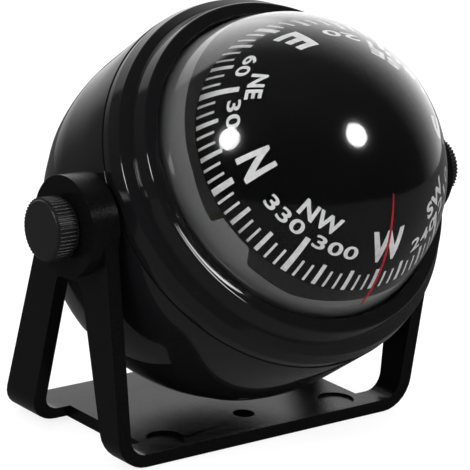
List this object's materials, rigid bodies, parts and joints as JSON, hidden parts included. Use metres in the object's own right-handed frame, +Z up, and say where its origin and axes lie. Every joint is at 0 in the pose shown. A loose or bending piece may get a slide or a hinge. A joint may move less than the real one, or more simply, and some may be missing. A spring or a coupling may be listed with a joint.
{
  "type": "ball compass",
  "caption": "Ball compass for a vehicle dashboard: a black ball with a clear dome and a floating dial card tilts in a forked bracket.",
  "frame": {"origin": "middle of the base plate's underside", "axes": "+X to the right along the pivot axis, -Y towards the driver, +Z up"},
  "size_m": [0.0862, 0.0731, 0.0739],
  "materials": {
    "bracket_plastic": "satin",
    "body_plastic": "gloss",
    "bezel_plastic": "gloss",
    "clear_plastic": "clear, polished",
    "capsule_plastic": "satin",
    "soft_rubber": "matte",
    "washer_plastic": "satin",
    "knob_plastic": "satin, knurled",
    "card_plastic": "matte with white print",
    "red_paint": "painted line",
    "brass": "turned",
    "steel": "plated",
    "magnet": "plated",
    "jewel": "polished"
  },
  "bodies": {
    "bracket": {"bracket": "bracket_plastic"},
    "ball": {"housing_body": "body_plastic", "rear_cap": "body_plastic", "bezel_ring": "bezel_plastic", "dome": "clear_plastic", "capsule_bowl": "capsule_plastic", "capsule_gasket": "soft_rubber", "diaphragm": "soft_rubber", "diaphragm_ring": "brass", "filler_plug": "brass", "pivot_post": "brass", "pivot_needle": "steel", "lubber_line": "red_paint", "housing_screws": "steel", "compensator_block": "capsule_plastic", "block_screws": "steel", "left_insert": "brass", "right_insert": "brass", "left_friction_washer": "soft_rubber", "right_friction_washer": "soft_rubber"},
    "left_clamp": {"left_washer": "washer_plastic"},
    "left_thumbscrew": {"left_knob": "knob_plastic", "left_stud": "steel"},
    "right_clamp": {"right_washer": "washer_plastic"},
    "right_thumbscrew": {"right_knob": "knob_plastic", "right_stud": "steel"},
    "card_bearing": {"jewel_cup": "jewel"},
    "card": {"dial_card": "card_plastic", "card_float": "capsule_plastic", "jewel_hub": "brass", "card_magnets": "magnet"},
    "ns_compensator": {"ns_spindle": "brass", "ns_magnet": "magnet"},
    "ew_compensator": {"ew_spindle": "brass", "ew_magnet": "magnet"}
  },
  "joints": [
    {"name": "ball_tilt", "type": "hinge", "parent": "bracket", "child": "ball", "pos_m": [0, -0.0092, 0.041], "axis": [1, 0, 0], "range_deg": [-25, 90]},
    {"name": "left_clamp_slide", "type": "slide", "parent": "ball", "child": "left_clamp", "axis": [-1, 0, 0], "range_m": [0, 0.0021]},
    {"name": "left_thumbscrew_turn", "type": "hinge", "parent": "left_clamp", "child": "left_thumbscrew", "pos_m": [-0.041, -0.0092, 0.041], "axis": [-1, 0, 0], "range_deg": [0, 1080.01]},
    {"name": "right_clamp_slide", "type": "slide", "parent": "ball", "child": "right_clamp", "axis": [1, 0, 0], "range_m": [0, 0.0021]},
    {"name": "right_thumbscrew_turn", "type": "hinge", "parent": "right_clamp", "child": "right_thumbscrew", "pos_m": [0.041, -0.0092, 0.041], "axis": [1, 0, 0], "range_deg": [0, 1080.01]},
    {"name": "card_tilt", "type": "hinge", "parent": "ball", "child": "card_bearing", "pos_m": [0, -0.03613, 0.05887], "axis": [1, 0, 0], "range_deg": [0, 12]},
    {"name": "card_heading", "type": "hinge", "parent": "card_bearing", "child": "card", "pos_m": [0, -0.03613, 0.05887], "axis": [0, -0.7478, 0.6639], "continuous": true},
    {"name": "ns_compensator_turn", "type": "hinge", "parent": "ball", "child": "ns_compensator", "pos_m": [0, 0.02402, 0.02213], "axis": [0, 0.8131, -0.5821], "continuous": true},
    {"name": "ew_compensator_turn", "type": "hinge", "parent": "ball", "child": "ew_compensator", "pos_m": [0.02, 0.00921, 0.0229], "axis": [1, 0, 0], "continuous": true}
  ],
  "couplings": [
    {"joint": "left_thumbscrew_turn", "follows": "left_clamp_slide", "rad_per_m": 8976},
    {"joint": "right_thumbscrew_turn", "follows": "right_clamp_slide", "rad_per_m": 8976}
  ]
}
